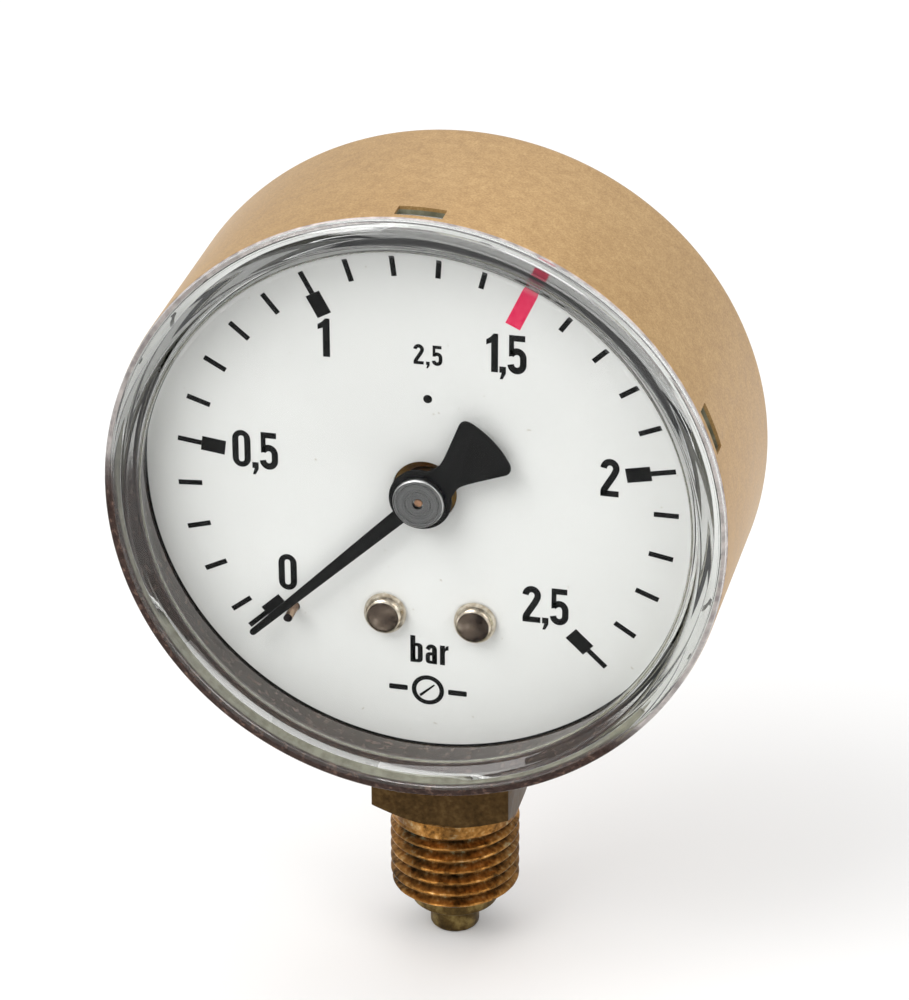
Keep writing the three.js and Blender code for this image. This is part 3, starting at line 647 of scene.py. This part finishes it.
MARKS = [-133.1, -127.6, -116.0, -104.95, -93.8, -82.7, -71.8, -61.0, -50.15, -39.4, -28.8, -18.1, -7.25, 3.55, 14.2, 25.2, 35.8, 46.65,
         57.5, 68.1, 78.9, 89.75, 100.6, 111.45, 122.55, 133.35]
for i, deg in enumerate(MARKS):
    az = math.radians(deg)
    if i == 15:
        decal("mark_limit", bar_at(az, 19.55, 27.9, 1.5), red_ink)
    elif i % 5 == 0:
        q = 19.2 if i == 0 else 19.5
        decal(f"mark_major_{i}", bar_at(az, q, q + 2.35, 1.45), black_ink)
        decal(f"mark_line_{i}", bar_at(az, q + 2.36, q + 4.7, 0.5), black_ink)
    else:
        decal(f"mark_{i}", bar_at(az, 21.8, 24.15, 0.5), black_ink)


def strip(path, w, closed=False):
    """Left and right outlines of a stroke with mitred joints."""
    n = len(path)
    L, R = [], []
    for i, p in enumerate(path):
        p = Vector(p)
        a = Vector(path[(i - 1) % n]) if (closed or i > 0) else None
        b = Vector(path[(i + 1) % n]) if (closed or i < n - 1) else None
        t1 = (p - a).normalized() if a is not None else None
        t2 = (b - p).normalized() if b is not None else None
        t = (t1 + t2).normalized() if t1 is not None and t2 is not None else (t1 if t1 is not None else t2)
        nn = Vector((-t.y, t.x))
        k = 1.0 if t1 is None or t2 is None else 1.0 / max(0.5, nn.dot(Vector((-t1.y, t1.x))))
        L.append(p + nn * w / 2 * k)
        R.append(p - nn * w / 2 * k)
    return [tuple(v) for v in L], [tuple(v) for v in R]


def arcp(cx, cy, rx, ry, a0, a1, n=10):
    return [(cx + rx * math.cos(math.radians(a0 + (a1 - a0) * i / n)), cy + ry * math.sin(math.radians(a0 + (a1 - a0) * i / n))) for i in range(n + 1)]


def rrect(x0, x1, y0, y1, r, n=6):
    return (arcp(x1 - r, y1 - r, r, r, 0, 90, n) + arcp(x0 + r, y1 - r, r, r, 90, 180, n) + arcp(x0 + r, y0 + r, r, r, 180, 270, n) + arcp(x1 - r, y0 + r, r, r, 270, 360, n))


# glyphs of height 1: parts are closed outlines, rings (outer, inner) or strokes (left, right); then the advance width
S = 0.172
G = {}


def stroke(path, w):
    L, R = strip(path, w)
    return ("stroke", L, R)


G["0"] = ([("ring", rrect(0, 0.5, 0, 1, 0.25), rrect(S, 0.5 - S, S * 0.85, 1 - S * 0.85, 0.075))], 0.5)
G["1"] = ([("poly", [(0.13, 0), (0.31, 0), (0.31, 1), (0.19, 1), (0.13, 0.93)]), ("poly", [(0.0, 0.70), (0.14, 0.76), (0.14, 0.93), (0.06, 0.87), (0.0, 0.84)])], 0.31)
G["2"] = ([stroke(arcp(0.25, 0.745, 0.165, 0.172, 178, -32, 12) + [(0.345, 0.56), (0.17, 0.28), (0.105, 0.17), (0.09, 0.06)], S),
           ("poly", [(0.01, 0), (0.49, 0), (0.49, 0.155), (0.01, 0.155)])], 0.5)
G["5"] = ([("poly", [(0.04, 0.845), (0.46, 0.845), (0.46, 1.0), (0.04, 1.0)]), ("poly", [(0.04, 0.44), (0.17, 0.47), (0.17, 0.86), (0.04, 0.86)]),
           stroke([(0.09, 0.50)] + arcp(0.25, 0.41, 0.165, 0.175, 125, 0, 8) + [(0.415, 0.30)] + arcp(0.25, 0.25, 0.165, 0.168, 0, -176, 12), S)], 0.5)
G[","] = ([("poly", [(0.0, 0.0), (0.06, 0.0), (0.01, -0.17), (0.085, -0.17), (0.17, -0.02), (0.17, 0.16), (0.0, 0.16)])], 0.17)
xh = 0.73
G["b"] = ([("poly", [(0, 0), (0.155, 0), (0.155, 1), (0, 1)]), ("ring", rrect(0.06, 0.38, 0, xh, 0.14), rrect(0.155, 0.228, 0.12, xh - 0.12, 0.03))], 0.38)
G["a"] = ([("poly", [(0.20, 0), (0.352, 0), (0.352, xh - 0.15), (0.20, xh - 0.15)]), ("ring", rrect(0.0, 0.32, 0, 0.43, 0.13), rrect(0.135, 0.215, 0.115, 0.315, 0.03)),
           stroke([(0.055, 0.53)] + arcp(0.18, 0.525, 0.105, 0.135, 160, -4, 9), 0.14)], 0.352)
G["r"] = ([("poly", [(0, 0), (0.155, 0), (0.155, xh), (0, xh)]), ("poly", [(0.15, 0.45), (0.18, 0.55), (0.265, 0.575), (0.265, xh + 0.01), (0.19, xh - 0.02), (0.15, 0.62)])], 0.265)


def place_part(name, part, f2, mat):
    kind = part[0]
    if kind == "poly":
        pts = [f2(p) for p in part[1]]
        n = len(pts)
        if name_has_comma(part):
            polys = [(0, 1, 5, 6), (1, 2, 3, 4, 5)]
        else:
            polys = [tuple(range(n))]
    elif kind == "ring":
        o, i = [f2(p) for p in part[1]], [f2(p) for p in part[2]]
        n = len(o)
        pts = o + i
        polys = [(k, (k + 1) % n, n + (k + 1) % n, n + k) for k in range(n)]
    else:
        L, R = [f2(p) for p in part[1]], [f2(p) for p in part[2]]
        n = len(L)
        pts = L + R
        polys = [(k, n + k, n + k + 1, k + 1) for k in range(n - 1)]
    o = prism(name, pts, polys, -INK, 0.0, mat)
    stand_for(o, "root", "dial_face")
    return o


def name_has_comma(part):
    return len(part[1]) == 7 and part[1][2][1] < 0


def text(name, word, cx, cz, h, sx=1.0, gap=0.1, mat=None):
    total = sum(G[c][1] * sx for c in word) + gap * (len(word) - 1)
    x = -total / 2
    k = 0
    for c in word:
        for part in G[c][0]:
            place_part(f"{name}_{k}", part, lambda p: (cx + (x + p[0] * sx) * h, cz + (p[1] - 0.5) * h), mat or black_ink)
            k += 1
        x += G[c][1] * sx + gap


H = 3.85
text("num_0", "0", -13.51, -10.07, H, 0.94)
text("num_05", "0,5", -16.42, 2.6, H, 0.93, 0.035)
text("num_1", "1", -9.5, 14.85, H, 0.96)
text("num_15", "1,5", 7.76, 14.9, H, 0.93, 0.035)
text("num_2", "2", 17.60, 3.38, H, 0.93)
text("num_25", "2,5", 11.70, -10.7, H, 0.93, 0.035)
text("unit", "bar", 0.42, -16.92, 2.9, 1.1, 0.1)
text("accuracy", "2,5", 0.38, 14.06, 2.0, 1.0, 0.1)
decal("centre_dot", circle(0.35, 9.6, 0.42, 24), black_ink)
# painted shadow: a thin black ring on the dial's edge stands in for the shadow in the gap under the window skirt's foot
place_part("painted_gap_shadow_ring", ("ring", circle(0, 0, 27.64, 256), circle(0, 0, 27.18, 256)), lambda p: p, black_ink)
# generic dial pictogram: a ring with a needle between two short bars
place_part("sign_ring", ("ring", circle(0.25, -21.3, 1.6, 64), circle(0.25, -21.3, 1.15, 64)), lambda p: p, black_ink)
decal("sign_needle", [(0.25 - 0.85, -21.3 - 0.55), (0.25 - 0.7, -21.3 - 0.8), (0.25 + 0.7, -21.3 + 0.55), (0.25 + 0.6, -21.3 + 0.68)], black_ink)
decal("sign_left", rrect(-3.6, -1.75, -21.58, -21.02, 0.12, 3), black_ink)
decal("sign_right", rrect(2.25, 4.1, -21.58, -21.02, 0.12, 3), black_ink)
# a small black dot printed near the stop pin
decal("dot_near_stop_pin", circle(-13.74, -15.16, 0.33, 20), black_ink)

# ------------------------------------------------------------------ stop pin, dial screws, collar
pin = turned("stop_pin", rounded([(0, -2.5), (0.41, -2.5, 0.08), (0.41, 0.45, 0.02), (0, 0.45)], 4), stop_m, 48, DC + Vector((PIN[0] * MM, 0, PIN[1] * MM)))
stand_for(pin, "root", "copper_pin", "zero_stop_pin")
cap_m.b.inputs["Anisotropic"].default_value = 0.7
tg = cap_m.t.nodes.new("ShaderNodeTangent")
tg.direction_type = "RADIAL"
tg.axis = "Y"
cap_m.link(tg.outputs[0], cap_m.b.inputs["Tangent"])
screw_m = Mat("dial_screw", g(0.6), 1.0, 0.14)
q1 = screw_m.noise(1500, 3)
q2 = screw_m.noise(420, 3, 0.6)
_x, sy_, _z = screw_m.xyz(screw_m.co(loc=(0, -DC.y, 0)))[0:3]
# painted reflection: the flat top of each head is dark and the domed sides bright, two tones of the same nickel
top_f = screw_m.math("LESS_THAN", sy_, -1.22 * MM)
side_c = screw_m.ramp(q1, (0.35, srgb(176, 160, 138)), (0.65, srgb(232, 222, 206)))
top_c = screw_m.ramp(q2, (0.36, srgb(40, 32, 28)), (0.6, srgb(96, 84, 74)), (0.72, srgb(150, 138, 124)))
screw_m.color(screw_m.mixc(top_f, side_c, top_c))
screw_m.rough(q2, 0.12, 0.3)
screw_m.bump(q1, 0.05, 0.00001)
for side, sx in (("left", SX[0]), ("right", SX[1])):
    p = rounded([(0, -1.32), (1.36, -1.32, 0.12), (1.72, -1.12, 0.4), (2.0, -0.72, 0.5), (2.1, -0.12, 0.12), (0.95, -0.1), (0.95, 5.2), (0, 5.2)], 5)
    o = turned(f"dial_screw_{side}_head", p, screw_m, 96, DC + Vector((sx * MM, 0, SZ * MM)), sharp=50)
    stand_for(o, "root", "nickel", f"dial_screw_{side}")
collar = turned("collar", rounded([(0.8, -1.1), (1.6, -1.1, 0.05), (2.15, -0.85, 0.15), (2.15, 2.2), (0.8, 2.2)], 4), collar_m, 96)
stand_for(collar, "root", "brass", "bearing_collar")

# ------------------------------------------------------------------ pointer
A = math.radians(134.0)
ca, sa = math.cos(A), math.sin(A)


def arcs(cx, cz, r, a0, a1, n):
    return [(cx + r * math.cos(math.radians(a0 + (a1 - a0) * i / n)), cz + r * math.sin(math.radians(a0 + (a1 - a0) * i / n))) for i in range(n + 1)]


bl = [(-0.32, 23.15), (-0.74, 2.88)] + arcs(0, 0, 3.0, 106, 236, 26)
bl += [(-1.42, -3.4), (-1.38, -3.9), (-1.64, -4.7), (-2.03, -5.62), (-2.45, -6.55)] + arcs(-2.55, -8.5, 0.72, 153, 253, 8)
bl += arcs(0, 0, 9.62, 253.5, 286.5, 12) + arcs(2.55, -8.5, 0.72, -73, 27, 8) + [(2.45, -6.55), (2.03, -5.62), (1.64, -4.7), (1.38, -3.9), (1.42, -3.4)]
bl += arcs(0, 0, 3.0, -56, 74, 26) + [(0.74, 2.88), (0.32, 23.15), (0.16, 23.38), (-0.16, 23.38)]
bl = [(x * ca - z * sa, x * sa + z * ca) for x, z in bl]
blade = slab("pointer", bl, [circle(0, 0, 1.4, 48)[::-1]], -1.85, -1.55, blade_m, 0.05, 40)
stand_for(blade, "pointer", "pointer_black", "pointer_blade")
cap = turned("pointer_cap_turned", rounded([(0.52, -2.8, 0.04), (2.31, -2.8, 0.02), (2.41, -2.72, 0.03), (2.45, -2.6, 0.04), (2.45, -2.0, 0.03),
             (1.4, -2.0), (1.4, -2.6), (0.52, -2.6)], 4), cap_m, 128, sharp=22)
stand_for(cap, "pointer", "turned_steel", "pointer_cap")
eye = turned("arbor_end", rounded([(0, -2.56), (0.36, -2.56, 0.06), (0.42, -2.5), (0.42, -2.46), (0, -2.46)], 2), pin_m, 32)
stand_for(eye, "pointer", "turned_steel")

# ------------------------------------------------------------------ socket
def thread_r(zz, theta):
    """Radius of the stem below the block, as a height field around Z."""
    P = 1.337
    rc, rr = 6.5785, 5.72
    t = (((zz - 0.1) / P - theta / (2 * math.pi)) % 1.0)
    # rounded 55 degree form
    d = abs(t - 0.5) * 2           # 0 at the root, 1 at the crest
    k = min(1.0, max(0.0, (d - 0.10) / 0.80))
    k = k * k * (3 - 2 * k) * 0.35 + k * 0.65
    r = rr + (rc - rr) * k
    if zz > -2.0:                  # run-out under the block
        w = min(1.0, max(0.0, (zz + 2.0) / 0.7))
        r = r * (1 - w) + 6.5 * w
    lim = 6.58
    if zz < -9.55:
        lim = 6.58 + (zz + 9.55) * 1.3 if zz > -9.98 else 6.02 + (zz + 9.98) * 14
    return max(min(r, lim), 4.45)


prof_low = rounded([(4.45, -11.72), (4.45, -12.0, 0.25), (2.65, -12.0, 0.1), (2.5, -12.15, 0.1), (2.5, -15.3, 0.4), (1.3, -15.3, 0.12), (1.3, -14.7)], 5)
NT = 180
zs = []
zz = 0.3
while zz > -11.65:
    zs.append(zz)
    zz -= 0.062
verts, faces = [], []
for zz in zs:
    for k in range(NT):
        a = 2 * math.pi * k / NT
        r_ = thread_r(zz, a)
        verts.append(Vector((r_ * math.cos(a), r_ * math.sin(a), zz)) * MM)
for r_, zz in prof_low:
    for k in range(NT):
        a = 2 * math.pi * k / NT
        verts.append(Vector((r_ * math.cos(a), r_ * math.sin(a), zz)) * MM)
rows = len(zs) + len(prof_low)
for i in range(rows - 1):
    for k in range(NT):
        j = (k + 1) % NT
        faces.append((i * NT + k, (i + 1) * NT + k, (i + 1) * NT + j, i * NT + j))
faces.append(tuple(range(NT)))
last = (rows - 1) * NT
faces.append(tuple(range(last + NT - 1, last - 1, -1)))
stem = make("socket_stem", verts, faces, sock_m, 38)
stand_for(stem, "root", "socket_brass", "socket")

# the wrench block: a bar whose lower end is turned to a cone
blk = block("socket_block", -7, 7, -7, 4.4, 0.02, 9.7, sock_m)
md = blk.modifiers.new("b", "BEVEL")
md.width = 0.18 * MM
md.segments = 3
apply(blk)
cone = turned("t", [(0, -1), (6.9, -1), (6.9, 0.02), (10.0, 1.82), (10.0, 14), (0, 14)], sock_m, 256, Vector((0, 0, 0)), "Z")
boolean(blk, [cone], "INTERSECT")
tidy(blk, 24)
stand_for(blk, "root", "socket_brass")
neck = block("socket_head", -6.8, 6.8, -6.8, 4.4, 9.7, 20.7, sock_m)
apply_b = neck.modifiers.new("b", "BEVEL"); apply_b.width = 0.15 * MM; apply_b.segments = 2
apply(neck)
boolean(neck, [block("t", -9, -4.6, -4.3, 6, 18.9, 23.5)])
tidy(neck, 24)
stand_for(neck, "root", "socket_brass")
neck2 = block("socket_front", -6.8, 6.8, -10.4, 4.4, 20.72, 28.5, sock_m)
apply_b = neck2.modifiers.new("b", "BEVEL"); apply_b.width = 0.15 * MM; apply_b.segments = 2
apply(neck2)
tl = [block("t", -9, -4.6, -4.3, 6, 18.9, 23.5)]
for x_ in SX:
    tl.append(turned("t", [(0, 0.5), (1.05, 0.5), (1.05, 6.0), (0, 6.0)], steel_m, 32, DC + Vector((x_ * MM, 0, SZ * MM))))
boolean(neck2, tl)
tidy(neck2, 24)
stand_for(neck2, "root", "socket_brass")

# ------------------------------------------------------------------ rear: screws with slots, blow-out plug
for side, s in (("left", -1), ("right", 1)):
    o = DC + Vector((4 * s * MM, 0, -20 * MM))
    p = rounded([(0, 18.55), (1.7, 18.5, 0.2), (2.4, 18.1, 0.4), (2.4, 17.65, 0.05), (0.95, 17.65), (0.95, 14.4), (0, 14.4)], 5)
    sc_ = turned(f"rear_screw_{side}_head", p, nickel_m, 72, o, sharp=50)
    boolean(sc_, [block("t", -0.3, 0.3, 18.0, 19.0, -3, 3, m=Matrix.Rotation(math.radians(25 * s + 10), 3, "Y"), origin=o)])
    tidy(sc_, 30)
    stand_for(sc_, "root", "nickel", f"rear_screw_{side}")
p = rounded([(0, 18.15), (3.9, 18.15, 0.2), (4.1, 17.95, 0.1), (4.5, 17.95, 0.1), (4.7, 18.2, 0.1), (5.7, 18.4, 0.3), (6.3, 18.1, 0.3), (6.3, 17.65, 0.08), (5.05, 17.65),
             (5.05, 16.7), (5.5, 16.7, 0.1), (5.3, 16.2, 0.15), (0, 16.2)], 4)
plug = turned("blow_out_plug", p, rubber_m, 128, DC + Vector((0, 0, 12 * MM)), sharp=45)
stand_for(plug, "root", "plug_rubber", "vent_plug")

# ------------------------------------------------------------------ the remaining CAD nodes get their own finishes
for name, ob in nodes.items():
    m = slot_mats[slot_of[name]]
    ob.data.materials.clear()
    ob.data.materials.append(m.m)

# ------------------------------------------------------------------ stage and light
zfloor = -15.3 * MM
fl = bpy.data.meshes.new("floor")
fl.from_pydata([(-4, -4, zfloor), (4, -4, zfloor), (4, 4, zfloor), (-4, 4, zfloor)], [], [(0, 1, 2, 3)])
floor = bpy.data.objects.new("floor", fl)
bpy.context.scene.collection.objects.link(floor)
fm = Mat("floor_pale", g(0.86), 0.0, 0.9)
fm.color(fm.ramp(fm.noise(3, 2), (0.3, g(0.85)), (0.7, g(0.87))))
fl.materials.append(fm.m)

world = bpy.data.worlds.new("studio")
bpy.context.scene.world = world
bpy.context.scene.view_settings.view_transform = "Standard"
world.use_nodes = True
world.node_tree.nodes["Background"].inputs["Color"].default_value = (1, 1, 1, 1)
world.node_tree.nodes["Background"].inputs["Strength"].default_value = 0.72


def area(name, pos, target, size, power, size_y=None, color=(1, 1, 1)):
    d = bpy.data.lights.new(name, "AREA")
    d.energy = power
    d.color = color
    d.shape = "RECTANGLE"
    d.size = size
    d.size_y = size_y or size
    o = bpy.data.objects.new(name, d)
    bpy.context.scene.collection.objects.link(o)
    o.location = pos
    o.rotation_euler = (Vector(target) - Vector(pos)).to_track_quat("-Z", "Y").to_euler()
    return o


T = (0, -0.01, 0.04)
area("key", (-0.42, -0.5, 0.75), T, 0.6, 5.4)
area("fill", (0.75, -0.35, 0.6), T, 0.6, 2.2)
area("top", (0.0, 0.45, 0.9), T, 0.8, 2.4)
